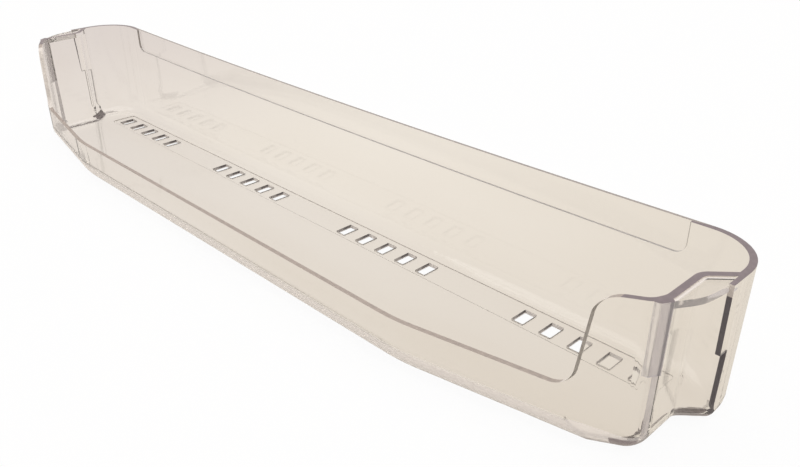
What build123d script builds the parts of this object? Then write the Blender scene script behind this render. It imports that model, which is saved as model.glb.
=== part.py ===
"""Fridge door shelf: one clear moulded tray with a low door-side wall and a hanging channel at each end.

Frame: millimetres. X runs along the shelf, -Y is the door side (low wall), +Y is the front wall,
+Z is up, and the origin is under the middle of the shelf.
"""
import math
import os

from build123d import *

# Overall size, measured at the rim
LENGTH = 490.0
HEIGHT = 66.0
FRONT_Y = 45.9
FRONT_BOW = 4.8
FRONT_FOOT_BOW = 0.1
FRONT_DRAFT = 0.8
END_DRAFT = 0.1
FRONT_CORNER_R = 24.0

# Door-side wall: straight middle, slanted ends that start this far in from the end walls, and its lean
NEAR_Y = -44.7
NEAR_BEND_IN = 108.0
NEAR_SLOPE = 0.187
NEAR_LEAN = 0.027
NEAR_BEND_R = 90.0

# Wall thickness at the rim, at the floor and on the door side
WALL_RIM = 2.9
WALL_FOOT = 2.4
WALL_NEAR = 2.3
FLOOR = 2.6

# Rounded foot of the end and front walls, of the jog and of the door side
FOOT_R = 9.0
FOOT_R_JOG = 8.5
FOOT_R_NEAR = 13.5

# Low part of the door-side wall, and the ear that rises at each end of it
LOW_RIM_Z = 25.7
LOW_RIM_R = 9.0
EAR_FOOT_IN = 34.0
EAR_TOP_IN = 29.6
EAR_R = 8.5
EAR_SLOPE = 0.571

# Jogged inner end wall: a flat set in from the end wall, a bevel behind it and a slant in front of it
JOG_IN = 10.2
JOG_DRAFT = 0.3
JOG_BACK_Y = -13.5
JOG_FRONT_Y = 7.6
JOG_FRONT_DRAFT = 1.0
JOG_FRONT_R = 5.0
JOG_SLANT = 0.94
BEVEL_X = 2.5
BEVEL_Y = 5.6
BEVEL_R = 10.0

# Hanging channel at each end: the flange in front, the rib behind and the roof
STEP_Z = 36.2
FLANGE_T = 2.0
FLANGE_Y_TOP = 8.3
FLANGE_Y_STEP = 10.0
FLANGE_Y_LOW = 15.4
FLANGE_FOOT_Z = 6.0
FLANGE_FOOT_R = 6.0
RIB_OUT = 1.2
RIB_BACK = 1.3
RIB_W = 4.8
ROOF_DROP = 0.4
ROOF_T = 2.9
ROOF_EDGE_IN = (6.6, 4.1, 2.9)
ROOF_EDGE_Y = (-9.6, -5.0, -0.7)
ROOF_START_IN = 0.2
ROOF_TIP_SHARE = 0.75
ROOF_CORNER_SHARE = 1.8

# Shallow band along the top of the front wall, cut into its inner face
BAND_END_IN = 33.5
BAND_H = 14.8
BAND_DEEP = 1.3
BAND_R = 5.0

# Floor strip and its four groups of drain slots
STRIP_END_IN = 26.0
STRIP_FRONT_IN = 21.7
STRIP_W = 16.8
STRIP_R = 2.0
STRIP_DEEP = 0.6
SLOT_X = 6.5
SLOT_Y = 10.7
SLOT_R = 0.5
SLOT_PITCH = 14.95
SLOTS_IN_GROUP = 5
SLOT_GROUP_IN = 63.8

# Working allowances: bodies run past each other, and lapped pieces reach into the wall that carries them
PAST = 64.0
EAR_PAST = 21.0
MARGIN = 5.0
LAP = 1.2
OVER = 3.0
FOOT_DIP = 0.3
LEAST_R = 1.0


def inset(points, amounts):
    """Move every side of a closed, counter-clockwise polygon inwards by its own amount."""
    count = len(points)
    sides = []
    for i in range(count):
        ax, ay = points[i][0], points[i][1]
        bx, by = points[(i + 1) % count][0], points[(i + 1) % count][1]
        size = math.hypot(bx - ax, by - ay)
        ux, uy = (bx - ax) / size, (by - ay) / size
        sides.append((ax - uy * amounts[i], ay + ux * amounts[i], ux, uy))
    moved = []
    for i in range(count):
        px, py, ux, uy = sides[i - 1]
        qx, qy, vx, vy = sides[i]
        cross = ux * vy - uy * vx
        t = ((qx - px) * vy - (qy - py) * vx) / cross
        radius = points[i][2]
        if radius > 0.0:
            amount = (amounts[i - 1] + amounts[i]) / 2
            radius = max(radius - math.copysign(amount, cross), LEAST_R)
        moved.append((px + ux * t, py + uy * t, radius))
    return moved


def outline(points, z, bow_side=None, bow=0.0):
    """A face at height z from polygon corners with radii; one side may be bowed inwards."""
    count = len(points)
    tilt = 0.0
    if bow_side is not None:
        ends = points[bow_side], points[(bow_side + 1) % count]
        chord = math.dist(ends[0][:2], ends[1][:2]) - ends[0][2] - ends[1][2]
        tilt = 2 * math.atan(2 * bow / chord)
    cuts = []
    for i in range(count):
        x, y, radius = points[i]
        ax, ay = points[i - 1][0], points[i - 1][1]
        bx, by = points[(i + 1) % count][0], points[(i + 1) % count][1]
        before = math.atan2(y - ay, x - ax)
        after = math.atan2(by - y, bx - x)
        if i == bow_side:
            after += tilt
        elif bow_side is not None and i == (bow_side + 1) % count:
            before -= tilt
        ux, uy = math.cos(before), math.sin(before)
        vx, vy = math.cos(after), math.sin(after)
        if radius <= 0.0:
            cuts.append(((x, y, z), None, (x, y, z)))
            continue
        turn = math.atan2(ux * vy - uy * vx, ux * vx + uy * vy)
        reach = radius * math.tan(abs(turn) / 2)
        start = (x - ux * reach, y - uy * reach, z)
        end = (x + vx * reach, y + vy * reach, z)
        hx, hy = vx - ux, vy - uy
        hl = math.hypot(hx, hy)
        depth = radius / math.cos(turn / 2) - radius
        cuts.append((start, (x + hx / hl * depth, y + hy / hl * depth, z), end))
    edges = []
    for i in range(count):
        start, middle, end = cuts[i]
        if middle is not None:
            edges.append(ThreePointArc(start, middle, end))
        following = cuts[(i + 1) % count][0]
        if i == bow_side and bow > 0.0:
            sag = math.dist(end, following) / 2 * math.tan(tilt / 2)
            centre = ((end[0] + following[0]) / 2, (end[1] + following[1]) / 2 - sag, z)
            edges.append(ThreePointArc(end, centre, following))
        else:
            edges.append(Line(end, following))
    return Face(Wire(edges))


def both_sides(right):
    """A closed outline from the corners of its right half."""
    left = [(-x, y, r) for x, y, r in reversed(right)]
    return left[-1:] + right + left[:-1]


def end_corners(z):
    """Plain outline of the end walls and the front wall, running on past the door side."""
    t = 1.0 - z / HEIGHT
    half = LENGTH / 2 - END_DRAFT * t
    front = FRONT_Y - FRONT_DRAFT * t
    return both_sides([(half, NEAR_Y - 2 * PAST, 0.0), (half, front, FRONT_CORNER_R)])


def jog_flat(z):
    """How far out the jog's flat face is at height z."""
    return LENGTH / 2 - JOG_IN - JOG_DRAFT * (1.0 - z / HEIGHT)


def jog_slant(x, z):
    """Where the slant in front of the jog's flat face is, at this x and height."""
    return JOG_FRONT_Y + JOG_FRONT_DRAFT * (1.0 - z / HEIGHT) + JOG_SLANT * (x - jog_flat(z))


def jog_corners(z):
    """Outline of the jogged inner end walls and the ears, running on past the front and the door side."""
    flat = jog_flat(z)
    bevel_x, bevel_y = flat - BEVEL_X, JOG_BACK_Y - BEVEL_Y
    low = NEAR_Y - EAR_PAST
    far = LENGTH / 2 + PAST
    return both_sides(
        [
            (bevel_x - (bevel_y - low) / EAR_SLOPE, low, 0.0),
            (bevel_x, bevel_y, BEVEL_R),
            (flat, JOG_BACK_Y, BEVEL_R),
            (flat, jog_slant(flat, z), JOG_FRONT_R),
            (far, jog_slant(far, z), 0.0),
            (far, FRONT_Y + 2 * PAST, 0.0),
        ]
    )


def near_corners(z):
    """Outline that carries only the door-side wall."""
    y = NEAR_Y - NEAR_LEAN * z
    bend = LENGTH / 2 - NEAR_BEND_IN
    side = LENGTH / 2 + PAST
    return both_sides(
        [
            (bend, y, NEAR_BEND_R),
            (side, y + NEAR_SLOPE * (side - bend), 0.0),
            (side, FRONT_Y + 2 * PAST, 0.0),
        ]
    )


def drafted(corners, z_low, z_high, walls, radius, keep, bow_side=None, bows=(0.0, 0.0)):
    """Drafted body between two heights with a rounded foot along the edges that pass the test."""
    rings = []
    for z, wall, bow in ((z_low, walls[0], bows[0]), (z_high, walls[1], bows[1])):
        rings.append(outline(inset(corners(z), wall), z, bow_side, bow).outer_wire())
    body = Solid.make_loft(rings, True)
    foot = []
    for edge in body.edges():
        box = edge.bounding_box()
        if abs(box.min.Z - z_low) < 1e-4 and abs(box.max.Z - z_low) < 1e-4 and keep(edge.center()):
            foot.append(edge)
    return body.fillet(radius, foot)


def end_body(z_low, z_high, wall_low, wall_high, radius):
    """End walls and front wall, with the front bowed a little inwards towards the rim."""

    def keep(c):
        return c.Y > NEAR_Y - PAST

    walls = [wall_low] * 4, [wall_high] * 4
    bows = (FRONT_FOOT_BOW, FRONT_BOW * z_high / HEIGHT)
    return drafted(end_corners, z_low, z_high, walls, radius, keep, 2, bows)


def jog_body(z_low, z_high, wall_low, wall_high, wall_ear, radius):
    """Jogged inner end walls and the slanted ears beside them."""

    def keep(c):
        inside = abs(c.X) < LENGTH / 2 + PAST - MARGIN
        return inside and NEAR_Y - EAR_PAST + MARGIN < c.Y < FRONT_Y + PAST

    walls = []
    for wall in (wall_low, wall_high):
        walls.append([wall, wall_ear] + [wall] * 9 + [wall_ear])
    return drafted(jog_corners, z_low - FOOT_DIP, z_high, walls, radius, keep)


def near_body(z_low, z_high, wall, radius):
    """Door-side wall."""

    def keep(c):
        return c.Y < 0.0

    walls = [wall] * 6, [wall] * 6
    return drafted(near_corners, z_low - 2 * FOOT_DIP, z_high, walls, radius, keep)


def mirrored(solid):
    """The same piece at the other end."""
    return solid.mirror(Plane.YZ)


def one(shape):
    """The single solid of a shape."""
    solids = shape.solids()
    if len(solids) != 1:
        raise ValueError("expected one solid, found %d" % len(solids))
    return solids[0]


def lines(points):
    """Straight edges from point to point."""
    return [Line(a, b) for a, b in zip(points, points[1:])]


def prism(edges, direction):
    """A solid from a closed run of edges pushed along a vector."""
    return Solid.extrude(Face(Wire(edges)), Vector(*direction))


def upright(corners, y_from, y_to):
    """A solid from corners given as (x, z, radius), pushed along Y."""
    face = outline(corners, 0.0).rotate(Axis.X, 90.0).moved(Pos(0.0, y_from, 0.0))
    return Solid.extrude(face, Vector(0.0, y_to - y_from, 0.0))


def low_wall_cut():
    """What is taken off the door-side wall between the two ears."""
    foot = LENGTH / 2 - EAR_FOOT_IN
    top = LENGTH / 2 - EAR_TOP_IN
    right = [
        (foot, LOW_RIM_Z, LOW_RIM_R),
        (top, HEIGHT, EAR_R),
        (LENGTH / 2 - JOG_IN, HEIGHT, 0.0),
        (LENGTH / 2 - JOG_IN, HEIGHT + LAP, 0.0),
    ]
    corners = [(-x, z, r) for x, z, r in reversed(right)] + right
    return upright(corners, JOG_BACK_Y - BEVEL_Y, NEAR_Y - PAST)


def front_band_cut():
    """The shallow band along the top of the front wall, cut into its inner face."""
    radius = FOOT_R - WALL_FOOT
    deeper = end_body(FLOOR, HEIGHT + OVER, WALL_FOOT - BAND_DEEP, WALL_RIM - BAND_DEEP, radius)
    half = LENGTH / 2 - BAND_END_IN
    low = HEIGHT - BAND_H
    top = HEIGHT + 2 * LAP + OVER
    window = [(-half, low, BAND_R), (half, low, BAND_R), (half, top, 0.0), (-half, top, 0.0)]
    return deeper & upright(window, FRONT_Y + PAST, FRONT_Y - FRONT_CORNER_R)


def flange():
    """The edge of the end wall that runs on past the jog, stepped half way down, rounded at its foot."""
    face = LENGTH / 2 - FLANGE_T
    low = FLANGE_FOOT_Z
    bend = FLANGE_FOOT_R * (1.0 - math.sqrt(0.5))
    inner = jog_slant(LENGTH / 2 + FLANGE_T, 0.0) + LAP
    turn = (face, FLANGE_Y_LOW, low + FLANGE_FOOT_R)
    foot = (face, FLANGE_Y_LOW + FLANGE_FOOT_R, low)
    run = [
        foot,
        (face, inner + FLANGE_FOOT_R, low),
        (face, inner + FLANGE_FOOT_R, HEIGHT + LAP),
        (face, FLANGE_Y_TOP, HEIGHT + LAP),
        (face, FLANGE_Y_STEP, STEP_Z),
        (face, FLANGE_Y_LOW, STEP_Z),
        turn,
    ]
    edges = lines(run)
    edges.append(ThreePointArc(turn, (face, FLANGE_Y_LOW + bend, low + bend), foot))
    return prism(edges, (2 * FLANGE_T, 0.0, 0.0))


def rib():
    """The bevelled corner between the ear and the jog, thickened above the step."""
    flat = jog_flat(HEIGHT)
    tip = (flat + RIB_OUT, JOG_BACK_Y - RIB_BACK)
    angle = math.atan2(BEVEL_Y - RIB_BACK, BEVEL_X)
    heel = (tip[0] - RIB_W * math.cos(angle), tip[1] - RIB_W * math.sin(angle))
    corners = [
        heel,
        tip,
        (flat - LAP / 2, JOG_BACK_Y + LAP / 4),
        (flat - BEVEL_X - LAP / 2, JOG_BACK_Y - BEVEL_Y / 2),
        (heel[0] - 2 * LAP, heel[1] - LAP * EAR_SLOPE),
    ]
    run = [(x, y, STEP_Z) for x, y in corners]
    return prism(lines(run + run[:1]), (0.0, 0.0, HEIGHT - STEP_Z))


def roof_edge():
    """Plan of the roof's free edge, from the rib to the flange."""
    end = LENGTH / 2
    middle = [(end - a, y) for a, y in zip(ROOF_EDGE_IN, ROOF_EDGE_Y)]
    start = (jog_flat(HEIGHT) + RIB_OUT / 3, JOG_BACK_Y - RIB_BACK + ROOF_START_IN)
    return [start, *middle, (end - ROOF_TIP_SHARE * FLANGE_T, FLANGE_Y_TOP + LAP)]


def roof():
    """Plate that closes the channel at the top, just under the rim."""
    z = HEIGHT - ROOF_DROP - ROOF_T
    edge = [(x, y, z) for x, y in roof_edge()]
    inner = jog_flat(HEIGHT) - LAP
    corner = LENGTH / 2 - ROOF_CORNER_SHARE * FLANGE_T
    run = [
        edge[-1],
        (edge[-1][0], edge[-1][1] + 2 * LAP, z),
        (corner, jog_slant(corner, HEIGHT) + LAP, z),
        (inner, JOG_FRONT_Y - LAP / 2, z),
        (inner, edge[0][1], z),
        edge[0],
    ]
    return prism([Spline(*edge)] + lines(run), (0.0, 0.0, ROOF_T))


def rounded_block(x, y, size_x, size_y, radius, z_low, z_high):
    """An upright block about (x, y) with rounded corners."""
    left, right = x - size_x / 2, x + size_x / 2
    back, front = y - size_y / 2, y + size_y / 2
    corners = [(left, back, radius), (right, back, radius), (right, front, radius), (left, front, radius)]
    return Solid.extrude(outline(corners, z_low), Vector(0.0, 0.0, z_high - z_low))


def strip_and_slots():
    """The shallow strip in the floor, and the drain slots through it."""
    y = FRONT_Y - STRIP_FRONT_IN
    cutters = [
        rounded_block(
            0.0, y, LENGTH - 2 * STRIP_END_IN, STRIP_W, STRIP_R, FLOOR - STRIP_DEEP, FLOOR + LAP
        )
    ]
    outer = LENGTH / 2 - SLOT_GROUP_IN
    for group in (-outer, -outer / 3, outer / 3, outer):
        for i in range(SLOTS_IN_GROUP):
            x = group + (i - (SLOTS_IN_GROUP - 1) / 2) * SLOT_PITCH
            cutters.append(rounded_block(x, y, SLOT_X, SLOT_Y, SLOT_R, -LAP, FLOOR + LAP))
    return cutters


def build():
    """The finished shelf as one solid, with the origin under its middle."""
    over = HEIGHT + OVER
    jogged = jog_body(0.0, over + LAP, 0.0, 0.0, 0.0, FOOT_R_JOG)
    for piece in (flange(), mirrored(flange())):
        jogged = one(jogged + piece)
    body = one(end_body(0.0, HEIGHT, 0.0, 0.0, FOOT_R) & jogged)
    body = one(body & near_body(0.0, over + 2 * LAP, 0.0, FOOT_R_NEAR))
    for piece in (rib(), roof()):
        body = one(body + piece)
        body = one(body + mirrored(piece))
    cavity = end_body(FLOOR, over, WALL_FOOT, WALL_RIM, FOOT_R - WALL_FOOT)
    cavity = cavity & jog_body(FLOOR, over + LAP, WALL_FOOT, WALL_RIM, WALL_NEAR, FOOT_R_JOG - WALL_FOOT)
    cavity = cavity & near_body(FLOOR, over + 2 * LAP, WALL_NEAR, FOOT_R_NEAR - WALL_NEAR)
    body = one(body - one(cavity))
    for cutter in (low_wall_cut(), front_band_cut(), *strip_and_slots()):
        body = one(body - cutter)
    box = body.bounding_box()
    return body.moved(Pos(0.0, -(box.min.Y + box.max.Y) / 2, 0.0))


if __name__ == "__main__":
    os.makedirs("parts", exist_ok=True)
    shelf = build()
    shelf.label = "door_shelf"
    export_step(shelf, "parts/door_shelf.step")
    size = shelf.bounding_box().size
    print("door_shelf", round(size.X, 2), round(size.Y, 2), round(size.Z, 2))
    print("volume cm3", round(shelf.volume / 1000, 2), "valid", shelf.is_valid)
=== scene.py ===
"""Clear fridge door shelf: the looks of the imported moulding, its floor, light and camera.

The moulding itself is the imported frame. It stays in place and gets a clear plastic that is worked out
from its own coordinates and faces, and it stands on a pale studio floor.
"""

import math

import bpy
import numpy as np
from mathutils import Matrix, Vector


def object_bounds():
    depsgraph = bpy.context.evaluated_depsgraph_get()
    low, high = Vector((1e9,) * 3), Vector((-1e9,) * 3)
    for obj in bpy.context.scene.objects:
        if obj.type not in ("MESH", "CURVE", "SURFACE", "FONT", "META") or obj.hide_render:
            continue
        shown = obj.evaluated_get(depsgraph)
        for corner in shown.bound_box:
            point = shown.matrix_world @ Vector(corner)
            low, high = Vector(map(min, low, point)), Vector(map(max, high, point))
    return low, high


bl_info = {
    "name": "Clear door shelf",
    "version": (1, 0, 0),
    "blender": (4, 5, 0),
    "location": "View3D > Sidebar > Door shelf",
    "description": "Clear plastic, studio floor, light and camera for a fridge door shelf",
    "category": "Object",
}

SHELF_NODE = "door_shelf"

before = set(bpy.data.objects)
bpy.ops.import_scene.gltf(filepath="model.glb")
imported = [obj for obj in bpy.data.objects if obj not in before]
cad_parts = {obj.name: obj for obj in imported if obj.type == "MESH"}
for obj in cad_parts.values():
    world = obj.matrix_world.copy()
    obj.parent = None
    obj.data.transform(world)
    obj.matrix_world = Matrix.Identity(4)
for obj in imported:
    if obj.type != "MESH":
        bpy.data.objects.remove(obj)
cad_box = [list(corner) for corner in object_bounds()]
HALF_X = cad_box[1][0]
TOP_Z = cad_box[1][2]

# Where the edges lie on the moulding, in metres: SIDE is the distance from the middle along X
CHANNEL_SIDE = HALF_X - 0.0145
CHANNEL_Y = (-0.021, 0.030)
RIM_Z = TOP_Z - 0.0001
RIM_STEP_Z = TOP_Z - 0.0005
FRONT_WALL_Y = 0.034
FRONT_RIM_SIDE = HALF_X - 0.0334
BAND_SIDE = HALF_X - 0.0325
BAND_Z = (TOP_Z - 0.0153, TOP_Z - 0.0002)
LIP_SIDE = HALF_X - 0.009
LIP_Y = -0.019
LIP_Z = 0.02
FLANGE_SIDE = HALF_X - 0.0021
FLANGE_Y = (0.006, 0.022)
FLANGE_Z = 0.005
STRIP_Y = (0.0155, 0.0333)
STRIP_Z = (0.0, 0.0027)
SLOT_SIDE = HALF_X - 0.0265
SLOT_END_Y = (0.0175, 0.0315)
CORNER_SIDE = (HALF_X - 0.0140, HALF_X - 0.0088)
CORNER_Y = (-0.0205, -0.0120)
RIB_Z = (0.036, RIM_Z)
BEVEL_Z = (0.004, 0.036)
ROOF_SIDE = HALF_X - 0.0102
ROOF_Y = 0.0105
ROOF_Z = (TOP_Z - 0.0034, RIM_STEP_Z)
ROOF_TOP_Z = TOP_Z - 0.0006
FOOT_Z = 0.013

# How the edges point, as parts of a face's normal: OUT is its part towards the nearer end
UPRIGHT = 0.15
FACING_UP = 0.9
SQUARE_ON = 0.7
LIP_TURN = 0.02
SLOPE_RISE = 0.85
LEDGE_RISE = 0.6
FLANGE_TO_DOOR = -0.25
FLANGE_DOWN = -0.5
RIB_OUT = 0.8
RIB_TO_DOOR = -0.2
RIB_SIDE_OUT = (0.1, 0.45)
RIB_SIDE_TO_DOOR = -0.8
BEVEL_OUT = (0.90, 0.985)
ROOF_OUT = 0.2
ROOF_SLANT_OUT = 0.68
ROOF_SLANT_TO_DOOR = 0.73
FOOT_DOWN = (-0.9999, 0.02)
FOOT_TO_FRONT = 0.2
FOOT_TO_DOOR = -0.03
FOOT_TO_END = 0.3
EAR_FOOT_TO_DOOR = -0.25

# Painted shade and light of the edges, the first that fits wins: edge, colour in the settings, cover over the
# plastic.
# Dark colours stand for the shade that refraction and inner reflection throw into cut edges and slots, pale
# and light ones for light seen through them.
EDGE_PAINTED_SHADE_AND_LIGHT = (
    ("front_rim", "lip", 0.60),
    ("rim", "rim", 0.90),
    ("rim_step", "pale", 0.80),
    ("flange", "flange", 0.90),
    ("slope", "light", 0.88),
    ("lip", "lip", 0.82),
    ("slot", "slot", 0.85),
    ("slot_end", "light", 0.80),
    ("strip", "light", 0.85),
    ("ledge", "light", 0.60),
    ("band", "lip", 0.65),
    ("rib", "rib", 0.50),
    ("rib_side", "soft_painted_light", 0.45),
    ("bevel", "rib", 0.44),
    ("roof", "pale", 0.40),
)

# Stored normals: the part along its face's normal below which one is mended, and the least divisor
LEAN_LIMIT = 0.97
TINY = 1e-12

# Where the painted shade and light fade on the moulding, in metres, each from its start to its end
NEAR_SIDE_Y = (-0.0145, -0.0165)
ABOVE_UNDERSIDE_Z = (0.0008, 0.0016)
FOOT_PAINTED_LIGHT_Z = (0.0130, 0.0105)
NEAR_LINE_Z = (0.0050, 0.0030)
FAR_LINE_Z = (0.0024, 0.0012)
EAR_SIDE = (HALF_X - 0.0203, HALF_X - 0.0200)
EAR_LINE_Z = (0.0050, 0.0042)
NEAR_EAR_LINE_Z = (0.0072, 0.0064)
ROOF_JOG_SIDE = (HALF_X - 0.0094, HALF_X - 0.0086)
ROOF_SLANT_AWAY = (0.1548, 0.1556)
SLOT_LOW_Z = (0.0007, 0.0003)
SLOT_DOOR_Y = (0.0255, 0.0230)
FLANGE_END_Z = (TOP_Z - 0.0052, TOP_Z - 0.0046)

# How strong that painted shade and light is, as shares
CHANNEL_FOOT_SHARE = 0.55
FOOT_PAINTED_LIGHT_COVER = 0.72
NEAR_LINE_SHARE = 0.8
LINE_COVER = 0.84
ROOF_JOIN_COVER = 0.85
SLOT_DOOR_PAINTED_LIGHT = 0.4
COVER_TRACE = 0.01

# Patterns in the plastic: scale and detail of the noise, and the levels of it between which each fades in
STREAK_STRETCH = (5.0, 26.0, 26.0)
STREAK_NOISE = (1.0, 3.0)
STREAK_LEVELS = (0.40, 0.70)
MOTTLE_NOISE = (420.0, 2.0)
MOTTLE_LEVELS = (0.3, 0.7)
MOTTLE_SHADES = (0.90, 1.08)
RUB_NOISE = (45.0, 6.0)
RUB_LEVELS = (0.45, 0.75)
WAVE_NOISE = (60.0, 1.0)
WAVE_STRENGTH = 0.015
WAVE_HEIGHT = 0.002

# Stage
WHITE = (1.0, 1.0, 1.0)
PAPER_TURN_X = (-0.25, 0.15)
OVERHEAD_RISE = (0.05, 0.45)
FLOOR_LINES = 9
SENSOR_WIDTH_MM = 36.0
CLIP_START = 0.01


def colour_property(name, description, default):
    """A colour that a user may change."""
    return bpy.props.FloatVectorProperty(
        name=name,
        description=description,
        subtype="COLOR",
        size=3,
        min=0.0,
        max=1.0,
        default=default,
    )


def share_property(name, description, default):
    """A share from 0 to 1 that a user may change."""
    return bpy.props.FloatProperty(
        name=name, description=description, subtype="FACTOR", min=0.0, max=1.0, default=default
    )


def length_property(name, description, default):
    """A length in metres that a user may change."""
    return bpy.props.FloatProperty(
        name=name, description=description, subtype="DISTANCE", unit="LENGTH", default=default
    )


def place_property(name, description, default):
    """A place in metres that a user may change."""
    return bpy.props.FloatVectorProperty(
        name=name, description=description, subtype="TRANSLATION", unit="LENGTH", size=3, default=default
    )


class ClearPlasticSettings(bpy.types.PropertyGroup):
    """Finish of the moulding, with the painted shade and light of its edges and feet."""

    tint: colour_property("Tint", "Colour that one wall lets through", (0.992, 0.987, 0.978))
    tint_deep: colour_property("Streak tint", "Tint along the flow streaks", (0.975, 0.965, 0.948))
    bend: bpy.props.FloatProperty(
        name="Refraction", description="Index of refraction", min=1.0, max=2.5, default=1.50
    )
    shine: share_property("Shine", "Strength of the mirror-like gloss", 0.55)
    polish: share_property("Polish", "Roughness of the polished faces", 0.012)
    rub: share_property("Rub", "Roughness of the rubbed patches", 0.05)
    edge_dull: share_property("Edge dullness", "Roughness of the cut edges", 0.35)
    # Painted shade and light: the rim, lip, flange edge, slot walls, rib and foot colours below are dark for
    # the shade that refraction and inner reflection throw into cut edges, slots and feet; the pale, light and
    # soft colours stand for light seen through the plastic there.
    rim: colour_property("Rim", "Dusky colour of the top rim", (0.195, 0.15, 0.165))
    lip: colour_property("Lip", "Colour of the low rim, front rim and band's ends", (0.42, 0.345, 0.285))
    flange: colour_property("Flange edge", "Dark colour of the flange's cut edge", (0.055, 0.042, 0.05))
    slot: colour_property("Slot walls", "Dark colour inside the drain slots", (0.075, 0.055, 0.055))
    pale: colour_property(
        "Pale edges", "Colour of the rim's steps, the roofs' edges and the flanges' tops", (0.66, 0.595, 0.53)
    )
    light: colour_property(
        "Light edges", "Colour of the ledge, the slopes, the strip's steps and the feet", (0.97, 0.92, 0.85)
    )
    soft_painted_light: colour_property("Haze", "Soft colour of the rib's side", (0.80, 0.735, 0.655))
    rib: colour_property("Rib", "Colour of the rib and of the bevel under it", (0.15, 0.095, 0.115))
    foot: colour_property("Foot", "Colour of the line under the rounded foot", (0.20, 0.15, 0.152))


class StageSettings(bpy.types.PropertyGroup):
    """Floor, light and camera."""

    floor_reach: length_property("Floor reach", "How far the floor runs from the middle", 4.0)
    floor_gap: length_property("Floor gap", "Air under the shelf, so that its underside shows", 0.0004)
    floor_colour: colour_property("Floor", "Colour of the pale floor", (0.95, 0.95, 0.95))
    floor_white: share_property("White share", "Plain white in what is seen of the floor", 0.94)
    paper: colour_property("Paper", "Warm paper that shows through the plastic", (0.865, 0.805, 0.725))
    # The paper's lit spot and its dimmer left and right are a painted pool of light.
    paper_right: colour_property("Paper, right", "Paper to the right of the light", (0.71, 0.64, 0.555))
    paper_left: colour_property("Paper, left", "Paper to the left of the light", (0.735, 0.67, 0.635))
    paper_middle: place_property("Lit spot", "Middle of the lit part of the paper", (-0.05, 0.13, 0.0))
    paper_spread: length_property("Lit reach", "How far the lit part of the paper runs", 0.48)
    overhead: colour_property("Overhead", "Dusky surroundings above the shelf", (0.58, 0.53, 0.52))
    softbox_size: length_property("Softbox", "Side of the square lamp overhead", 3.0)
    softbox_height: length_property("Softbox height", "Height of the lamp", 2.2)
    softbox_watts: bpy.props.FloatProperty(
        name="Softbox power", description="Power of the lamp", unit="POWER", default=32.0
    )
    camera_place: place_property("Camera place", "Where the camera stands", (0.33127, -0.23599, 0.20787))
    camera_turn: bpy.props.FloatVectorProperty(
        name="Camera turn",
        description="How the camera is turned about X, Y and Z",
        subtype="EULER",
        unit="ROTATION",
        size=3,
        default=tuple(math.radians(a) for a in (61.488, 0.115, 45.741)),
    )
    camera_lens: bpy.props.FloatProperty(
        name="Lens", description="Focal length in millimetres on a 36 mm frame", default=36.70
    )
    camera_shift: bpy.props.FloatVectorProperty(
        name="Shift", description="Shift of the frame sideways and upwards", size=2, default=(0.0132, 0.0148)
    )


def between(values, limits):
    """Where values lie between two limits."""
    low, high = limits
    return (values > low) & (values < high)


def edge_faces(middle, normal):
    """Masks of the faces of each kind of edge, as whole arrays.

    A face is told by its middle and by the way it points: the rim points up at the top, the lip has no
    part of Y in its normal, a flange edge points to the door or down, slot walls lie in the floor strip,
    the band's ledge and ends turn away from the front wall's face, and ribs stand at the channels' corners.
    """
    x, y, z = middle.T
    nx, ny, nz = normal.T
    side = np.abs(x)
    out = nx * np.sign(x)
    upright = np.abs(nz) < UPRIGHT
    channel = (side > CHANNEL_SIDE) & between(y, CHANNEL_Y)
    rim = (nz > FACING_UP) & (z > RIM_Z)
    lip = (np.abs(ny) < LIP_TURN) & (y < LIP_Y) & (z > LIP_Z) & (side < LIP_SIDE)
    flange = (side > FLANGE_SIDE) & between(y, FLANGE_Y) & (z > FLANGE_Z)
    strip = upright & between(y, STRIP_Y) & between(z, STRIP_Z)
    band = (y > FRONT_WALL_Y) & between(z, BAND_Z) & (np.abs(ny) < SQUARE_ON) & (side < BAND_SIDE)
    corner = between(side, CORNER_SIDE) & between(y, CORNER_Y)
    rib_corner = corner & between(z, RIB_Z)
    roof = channel & upright & (side > ROOF_SIDE) & (y < ROOF_Y) & between(z, ROOF_Z)
    return {
        "channel": channel,
        "front_rim": rim & (y > FRONT_WALL_Y) & (side < FRONT_RIM_SIDE),
        "rim": rim,
        "rim_step": channel & upright & (z > RIM_STEP_Z),
        "flange": flange & ((ny < FLANGE_TO_DOOR) | (nz < FLANGE_DOWN)),
        "slope": lip & (nz < SLOPE_RISE),
        "lip": lip,
        "slot": strip & (np.abs(nx) > SQUARE_ON) & (side < SLOT_SIDE),
        "slot_end": strip & (np.abs(ny) >= SQUARE_ON) & between(y, SLOT_END_Y),
        "strip": strip,
        "ledge": band & (nz > LEDGE_RISE),
        "band": band,
        "rib": rib_corner & (out > RIB_OUT) & (ny < RIB_TO_DOOR),
        "rib_side": rib_corner & between(out, RIB_SIDE_OUT) & (ny < RIB_SIDE_TO_DOOR),
        "bevel": corner & between(z, BEVEL_Z) & between(out, BEVEL_OUT),
        "roof": roof & (out > ROOF_OUT),
    }


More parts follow.
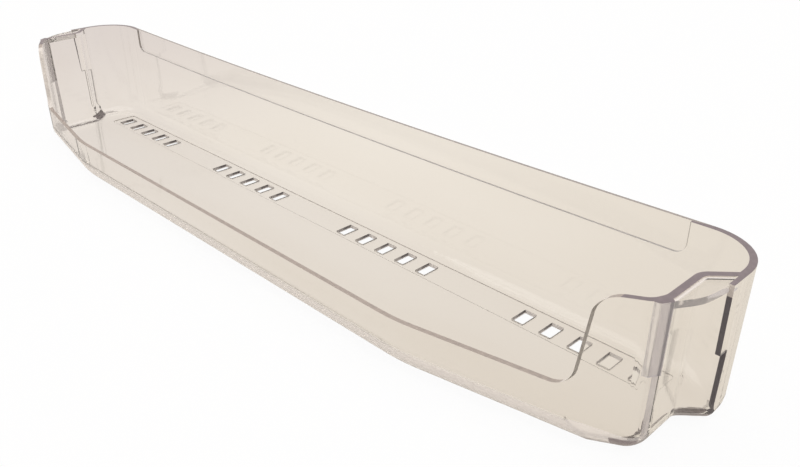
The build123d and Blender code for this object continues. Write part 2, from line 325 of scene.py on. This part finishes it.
def edge_painted_shade_and_light(mesh, settings):
    """Painted shade and light, as colour and cover, and marks of the faces that aren't plain clear plastic,
    as whole arrays.

    The edges get the painted shade and light in their list. Of the plain faces, the roofs' tops and the
    rounded feet, which turn down near the floor and to the door or an end, are marked for the material to
    fade its painted shade and light in.
    """
    count = len(mesh.polygons)
    middle = np.empty(count * 3, np.float32)
    normal = np.empty(count * 3, np.float32)
    mesh.polygons.foreach_get("center", middle)
    mesh.polygons.foreach_get("normal", normal)
    middle = middle.reshape(-1, 3)
    normal = normal.reshape(-1, 3)
    faces = edge_faces(middle, normal)
    covers = np.zeros(count)
    colours = np.zeros((count, 3))
    for edge, colour, cover in reversed(EDGE_PAINTED_SHADE_AND_LIGHT):
        covers[faces[edge]] = cover
        colours[faces[edge]] = getattr(settings, colour)
    z = middle[:, 2]
    nx, ny, nz = normal.T
    plain = covers == 0.0
    under = plain & (z < FOOT_Z) & between(nz, FOOT_DOWN) & (ny < FOOT_TO_FRONT)
    under &= (ny < FOOT_TO_DOOR) | (np.abs(nx) > FOOT_TO_END)
    return {
        "edge_colour": colours,
        "edge_cover": covers,
        "flange_edge": faces["flange"],
        "roof_top": plain & faces["channel"] & (nz > FACING_UP) & (z > ROOF_TOP_Z),
        "outer_foot": under * np.where(faces["channel"], CHANNEL_FOOT_SHARE, 1.0),
        "slot_wall": faces["slot"],
        "ear_foot": under & (ny < EAR_FOOT_TO_DOOR),
    }


def mend_normals(mesh):
    """Put right the few stored normals that lean far from their face.

    Each of them becomes the mean normal of the faces at its vertex, weighted by their areas.
    """
    normals = np.empty(len(mesh.loops) * 3, np.float32)
    vertex = np.empty(len(mesh.loops), np.int32)
    face_normal = np.empty(len(mesh.polygons) * 3, np.float32)
    area = np.empty(len(mesh.polygons), np.float32)
    corners = np.empty(len(mesh.polygons), np.int32)
    mesh.corner_normals.foreach_get("vector", normals)
    mesh.loops.foreach_get("vertex_index", vertex)
    mesh.polygons.foreach_get("normal", face_normal)
    mesh.polygons.foreach_get("area", area)
    mesh.polygons.foreach_get("loop_total", corners)
    normals = normals.reshape(-1, 3)
    face_normal = np.repeat(face_normal.reshape(-1, 3), corners, axis=0)
    leaning = np.einsum("ij,ij->i", normals, face_normal) < LEAN_LIMIT
    sums = np.zeros((len(mesh.vertices), 3))
    np.add.at(sums, vertex, face_normal * np.repeat(area, corners)[:, None])
    sums /= np.maximum(np.linalg.norm(sums, axis=1), TINY)[:, None]
    normals[leaning] = sums[vertex[leaning]]
    mesh.normals_split_custom_set(normals.tolist())


def put_on_faces(mesh, name, values):
    """Keep one number or one colour per face on a mesh, for its material to read."""
    values = np.asarray(values, np.float32)
    if values.ndim == 1:
        mesh.attributes.new(name, "FLOAT", "FACE").data.foreach_set("value", values)
    else:
        mesh.attributes.new(name, "FLOAT_VECTOR", "FACE").data.foreach_set("vector", values.ravel())


class NodeSheet:
    """A node tree that is written as sums: each method adds its nodes and gives their result."""

    def __init__(self, tree):
        self.tree = tree
        tree.nodes.clear()

    def node(self, kind, **values):
        """A node with its attributes set."""
        made = self.tree.nodes.new(kind)
        for name, value in values.items():
            setattr(made, name, value)
        return made

    def feed(self, socket, value):
        """Put a plain value or another node's result into a socket."""
        if isinstance(value, bpy.types.NodeSocket):
            self.tree.links.new(value, socket)
        else:
            socket.default_value = value

    def maths(self, operation, first, second=0.0):
        """One step of arithmetic."""
        made = self.node("ShaderNodeMath", operation=operation)
        self.feed(made.inputs[0], first)
        self.feed(made.inputs[1], second)
        return made.outputs[0]

    def product(self, first, *others):
        """Numbers multiplied."""
        for other in others:
            first = self.maths("MULTIPLY", first, other)
        return first

    def greatest(self, first, *others):
        """The greatest of some numbers."""
        for other in others:
            first = self.maths("MAXIMUM", first, other)
        return first

    def rest(self, share):
        """What a share leaves of the whole."""
        return self.maths("SUBTRACT", 1.0, share)

    def ramp(self, value, start, end, low=0.0, high=1.0):
        """A smooth step from low at start to high at end."""
        made = self.node("ShaderNodeMapRange", interpolation_type="SMOOTHSTEP")
        self.feed(made.inputs["Value"], value)
        for name, number in (("From Min", start), ("From Max", end), ("To Min", low), ("To Max", high)):
            self.feed(made.inputs[name], number)
        return made.outputs["Result"]

    def mix(self, share, first, second):
        """Two colours mixed by a share."""
        made = self.node("ShaderNodeMix", data_type="RGBA")
        self.feed(made.inputs["Factor"], share)
        for name, value in (("A", first), ("B", second)):
            if not isinstance(value, bpy.types.NodeSocket):
                value = (*value, 1.0)
            colour = [s for s in made.inputs if s.name == name and s.type == "RGBA"][0]
            self.feed(colour, value)
        return [s for s in made.outputs if s.type == "RGBA"][0]

    def blend(self, share, first, second):
        """Two numbers mixed by a share."""
        made = self.node("ShaderNodeMix", data_type="FLOAT")
        self.feed(made.inputs["Factor"], share)
        self.feed(made.inputs["A"], first)
        self.feed(made.inputs["B"], second)
        return made.outputs["Result"]

    def noise(self, place, scale, detail):
        """Cloudy noise about a place."""
        made = self.node("ShaderNodeTexNoise")
        self.feed(made.inputs["Vector"], place)
        self.feed(made.inputs["Scale"], scale)
        self.feed(made.inputs["Detail"], detail)
        return made.outputs["Fac"]

    def mark(self, name, output="Fac"):
        """What the mesh keeps per face under a name."""
        return self.node("ShaderNodeAttribute", attribute_name=name).outputs[output]

    def place(self):
        """The place on the object, whole and as its X, Y and Z."""
        whole = self.node("ShaderNodeTexCoord").outputs["Object"]
        parts = self.node("ShaderNodeSeparateXYZ")
        self.feed(parts.inputs["Vector"], whole)
        return whole, *parts.outputs


def streaked_tint(sheet, settings, place):
    """A faint warm colour, deepened along streaks of noise that is drawn out in X."""
    drawn = sheet.node("ShaderNodeMapping")
    sheet.feed(drawn.inputs["Vector"], place)
    drawn.inputs["Scale"].default_value = STREAK_STRETCH
    streaks = sheet.ramp(sheet.noise(drawn.outputs["Vector"], *STREAK_NOISE), *STREAK_LEVELS)
    return sheet.mix(streaks, settings.tint, settings.tint_deep)


def foot_painted_shade_and_light(sheet, settings, side, y, z):
    """Cover and colour of the painted light and shade on the rounded feet and the roofs' joins.

    Haze = painted light: a light cover on the foot by the door, which fades upwards.
    Join = painted light: a light cover on a roof, along its jog and along the slant behind it.
    Line = painted shade along the lowest part of a foot, soft by the door, thin elsewhere and broad at the
    ears.
    Cover = the greatest of the three, and the colour goes from the painted light to the foot's painted shade
    along the line.
    """
    foot = sheet.mark("outer_foot")
    near = sheet.ramp(y, *NEAR_SIDE_Y)
    near_foot = sheet.product(foot, near, sheet.ramp(z, *ABOVE_UNDERSIDE_Z))
    soft_painted_light = sheet.product(near_foot, sheet.ramp(z, *FOOT_PAINTED_LIGHT_Z, high=FOOT_PAINTED_LIGHT_COVER))

    slant_out = sheet.product(side, ROOF_SLANT_OUT)
    slant = sheet.maths("SUBTRACT", slant_out, sheet.product(y, ROOF_SLANT_TO_DOOR))
    off_join = sheet.product(sheet.ramp(side, *ROOF_JOG_SIDE), sheet.ramp(slant, *ROOF_SLANT_AWAY))
    join = sheet.product(sheet.rest(off_join), ROOF_JOIN_COVER, sheet.mark("roof_top"))

    near_line = sheet.product(near_foot, sheet.ramp(z, *NEAR_LINE_Z, high=NEAR_LINE_SHARE))
    far_line = sheet.product(foot, sheet.rest(near), sheet.ramp(z, *FAR_LINE_Z))
    broad = sheet.blend(near, sheet.ramp(z, *EAR_LINE_Z), sheet.ramp(z, *NEAR_EAR_LINE_Z))
    ear_line = sheet.product(sheet.mark("ear_foot"), broad, sheet.ramp(side, *EAR_SIDE))
    line = sheet.greatest(near_line, far_line, ear_line)

    cover = sheet.greatest(soft_painted_light, join, sheet.product(line, LINE_COVER))
    return cover, sheet.mix(line, settings.light, settings.foot)


def edge_colour(sheet, settings, place, y, z, covered, foot_colour):
    """Colour under the cover: an edge's painted shade or light where it is covered, with a faint mottle, else
    the foot's.

    Slot walls get painted light at the bottom and to the door, and a flange's edge a pale painted light at
    its top.
    """
    colour = sheet.mix(covered, foot_colour, sheet.mark("edge_colour", "Color"))
    # Painted light on the slot walls, low down and towards the door.
    to_door = sheet.ramp(y, *SLOT_DOOR_Y, high=SLOT_DOOR_PAINTED_LIGHT)
    slot_painted_light = sheet.greatest(sheet.ramp(z, *SLOT_LOW_Z), to_door)
    colour = sheet.mix(sheet.product(sheet.mark("slot_wall"), slot_painted_light), colour, settings.light)
    # Pale painted light at the top of the flange's cut edge.
    flange_end_painted_light = sheet.product(sheet.mark("flange_edge"), sheet.ramp(z, *FLANGE_END_Z))
    colour = sheet.mix(flange_end_painted_light, colour, settings.pale)
    mottle = sheet.ramp(sheet.noise(place, *MOTTLE_NOISE), *MOTTLE_LEVELS, *MOTTLE_SHADES)
    shaded = sheet.node("ShaderNodeVectorMath", operation="SCALE")
    sheet.feed(shaded.inputs[0], colour)
    sheet.feed(shaded.inputs["Scale"], sheet.blend(covered, 1.0, mottle))
    return shaded.outputs["Vector"]


def plastic_material(settings):
    """Clear plastic: tinted glass with faint streaks, waves and rubbed patches, and duller edges with painted
    shade and light.

    Cover = the face's own cover or the feet's, whichever is greater.
    Where there is cover, the edge's painted shade or light takes the place of the tint, less light passes
    through and the surface is duller.
    """
    material = bpy.data.materials.new("clear_plastic")
    material.use_nodes = True
    sheet = NodeSheet(material.node_tree)
    place, x, y, z = sheet.place()
    side = sheet.maths("ABSOLUTE", x)

    foot_cover, foot_colour = foot_painted_shade_and_light(sheet, settings, side, y, z)
    own_cover = sheet.mark("edge_cover")
    covered = sheet.maths("GREATER_THAN", own_cover, COVER_TRACE)
    cover = sheet.greatest(own_cover, foot_cover)
    tint = streaked_tint(sheet, settings, place)
    edge = edge_colour(sheet, settings, place, y, z, covered, foot_colour)
    rubbed = sheet.ramp(sheet.noise(place, *RUB_NOISE), *RUB_LEVELS, settings.polish, settings.rub)
    waves = sheet.node("ShaderNodeBump")
    waves.inputs["Strength"].default_value = WAVE_STRENGTH
    waves.inputs["Distance"].default_value = WAVE_HEIGHT
    sheet.feed(waves.inputs["Height"], sheet.noise(place, *WAVE_NOISE))

    shader = sheet.node("ShaderNodeBsdfPrincipled")
    shader.inputs["IOR"].default_value = settings.bend
    shader.inputs["Specular Tint"].default_value = (settings.shine, settings.shine, settings.shine, 1.0)
    sheet.feed(shader.inputs["Base Color"], sheet.mix(cover, tint, edge))
    sheet.feed(shader.inputs["Transmission Weight"], sheet.rest(cover))
    sheet.feed(shader.inputs["Roughness"], sheet.blend(cover, rubbed, settings.edge_dull))
    sheet.feed(shader.inputs["Normal"], waves.outputs["Normal"])
    end = sheet.node("ShaderNodeOutputMaterial")
    sheet.feed(end.inputs["Surface"], shader.outputs["BSDF"])
    return material


def floor_material(settings):
    """Matt floor that the camera sees close to white, with the shadow kept, and the plastic as warm paper.

    Paper = a painted pool of light: its lit colour at the lit spot, which fades with the distance to a dim
    one, left or right.
    """
    material = bpy.data.materials.new("pale_floor")
    material.use_nodes = True
    sheet = NodeSheet(material.node_tree)
    path = sheet.node("ShaderNodeLightPath").outputs
    camera = path["Is Camera Ray"]
    through = sheet.greatest(path["Is Glossy Ray"], path["Is Transmission Ray"])
    place, x = sheet.place()[:2]
    away = sheet.node("ShaderNodeVectorMath", operation="DISTANCE")
    sheet.feed(away.inputs[0], place)
    away.inputs[1].default_value = settings.paper_middle
    dim = sheet.mix(sheet.ramp(x, *PAPER_TURN_X), settings.paper_left, settings.paper_right)
    unlit = sheet.ramp(away.outputs["Value"], 0.0, settings.paper_spread)
    paper = sheet.mix(unlit, settings.paper, dim)
    matt = sheet.node("ShaderNodeBsdfDiffuse")
    matt.inputs["Color"].default_value = (*settings.floor_colour, 1.0)
    seen = sheet.node("ShaderNodeEmission")
    sheet.feed(seen.inputs["Color"], sheet.mix(camera, paper, WHITE))
    seen_share = sheet.greatest(through, sheet.product(camera, settings.floor_white))
    both = sheet.node("ShaderNodeMixShader")
    sheet.feed(both.inputs["Fac"], seen_share)
    sheet.feed(both.inputs[1], matt.outputs["BSDF"])
    sheet.feed(both.inputs[2], seen.outputs["Emission"])
    end = sheet.node("ShaderNodeOutputMaterial")
    sheet.feed(end.inputs["Surface"], both.outputs["Shader"])
    return material


def studio_world(settings):
    """Surroundings: white to the camera, else paper at the horizon and dusky overhead."""
    world = bpy.data.worlds.new("studio")
    world.use_nodes = True
    sheet = NodeSheet(world.node_tree)
    way = sheet.node("ShaderNodeSeparateXYZ")
    sheet.feed(way.inputs["Vector"], sheet.node("ShaderNodeTexCoord").outputs["Generated"])
    height = sheet.ramp(way.outputs["Z"], *OVERHEAD_RISE)
    seen = sheet.mix(height, settings.paper, settings.overhead)
    seen = sheet.mix(sheet.node("ShaderNodeLightPath").outputs["Is Camera Ray"], seen, WHITE)
    light = sheet.node("ShaderNodeBackground")
    sheet.feed(light.inputs["Color"], seen)
    end = sheet.node("ShaderNodeOutputWorld")
    sheet.feed(end.inputs["Surface"], light.outputs["Background"])
    return world


def grid_mesh(name, points):
    """A mesh from points on a grid of rows by columns: each cell is one face."""
    rows, columns = points.shape[:2]
    index = np.arange(rows * columns).reshape(rows, columns)
    faces = np.stack([index[:-1, :-1], index[:-1, 1:], index[1:, 1:], index[1:, :-1]], axis=-1)
    mesh = bpy.data.meshes.new(name)
    mesh.from_pydata(points.reshape(-1, 3).tolist(), [], faces.reshape(-1, 4).tolist())
    mesh.update()
    return mesh


class DOORSHELF_OT_plastic(bpy.types.Operator):
    """Give the moulding its clear plastic and the painted shade and light of its cut edges"""

    bl_idname = "door_shelf.plastic"
    bl_label = "Clear plastic"

    def execute(self, context):
        settings = context.scene.door_shelf_plastic
        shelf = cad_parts[SHELF_NODE]
        mend_normals(shelf.data)
        for name, values in edge_painted_shade_and_light(shelf.data, settings).items():
            put_on_faces(shelf.data, name, values)
        shelf.data.materials.clear()
        shelf.data.materials.append(plastic_material(settings))
        return {"FINISHED"}


class DOORSHELF_OT_stage(bpy.types.Operator):
    """Lay the floor, set the soft light and place the camera"""

    bl_idname = "door_shelf.stage"
    bl_label = "Studio stage"

    def execute(self, context):
        scene = context.scene
        settings = scene.door_shelf_stage
        across = np.linspace(-settings.floor_reach, settings.floor_reach, FLOOR_LINES)
        x, y = np.meshgrid(across, across)
        level = np.full_like(x, -settings.floor_gap)
        floor = bpy.data.objects.new("floor", grid_mesh("floor", np.stack([x, y, level], axis=-1)))
        floor.data.materials.append(floor_material(settings))
        scene.collection.objects.link(floor)
        lamp = bpy.data.lights.new("softbox", "AREA")
        lamp.size = settings.softbox_size
        lamp.energy = settings.softbox_watts
        light = bpy.data.objects.new("softbox", lamp)
        light.location = (0.0, 0.0, settings.softbox_height)
        scene.collection.objects.link(light)
        scene.world = studio_world(settings)
        view = bpy.data.cameras.new("camera")
        view.sensor_width = SENSOR_WIDTH_MM
        view.lens = settings.camera_lens
        view.shift_x, view.shift_y = settings.camera_shift
        view.clip_start = CLIP_START
        camera = bpy.data.objects.new("camera", view)
        camera.location = settings.camera_place
        camera.rotation_euler = settings.camera_turn
        scene.collection.objects.link(camera)
        scene.camera = camera
        scene.view_settings.view_transform = "Standard"
        return {"FINISHED"}


class DOORSHELF_PT_panel(bpy.types.Panel):
    """Settings and steps of the door shelf"""

    bl_idname = "DOORSHELF_PT_panel"
    bl_label = "Door shelf"
    bl_space_type = "VIEW_3D"
    bl_region_type = "UI"
    bl_category = "Door shelf"

    def draw(self, context):
        for settings, operator in (
            (context.scene.door_shelf_plastic, DOORSHELF_OT_plastic),
            (context.scene.door_shelf_stage, DOORSHELF_OT_stage),
        ):
            box = self.layout.box()
            for name in settings.__annotations__:
                box.prop(settings, name)
            box.operator(operator.bl_idname)


classes = (
    ClearPlasticSettings,
    StageSettings,
    DOORSHELF_OT_plastic,
    DOORSHELF_OT_stage,
    DOORSHELF_PT_panel,
)


def register():
    """Make the settings, the steps and the panel known."""
    for item in classes:
        bpy.utils.register_class(item)
    bpy.types.Scene.door_shelf_plastic = bpy.props.PointerProperty(type=ClearPlasticSettings)
    bpy.types.Scene.door_shelf_stage = bpy.props.PointerProperty(type=StageSettings)


def unregister():
    """Take them out again."""
    del bpy.types.Scene.door_shelf_stage
    del bpy.types.Scene.door_shelf_plastic
    for item in reversed(classes):
        bpy.utils.unregister_class(item)


def main():
    """Build the looks."""
    register()
    bpy.ops.door_shelf.plastic()
    bpy.ops.door_shelf.stage()


if __name__ == "__main__":
    main()
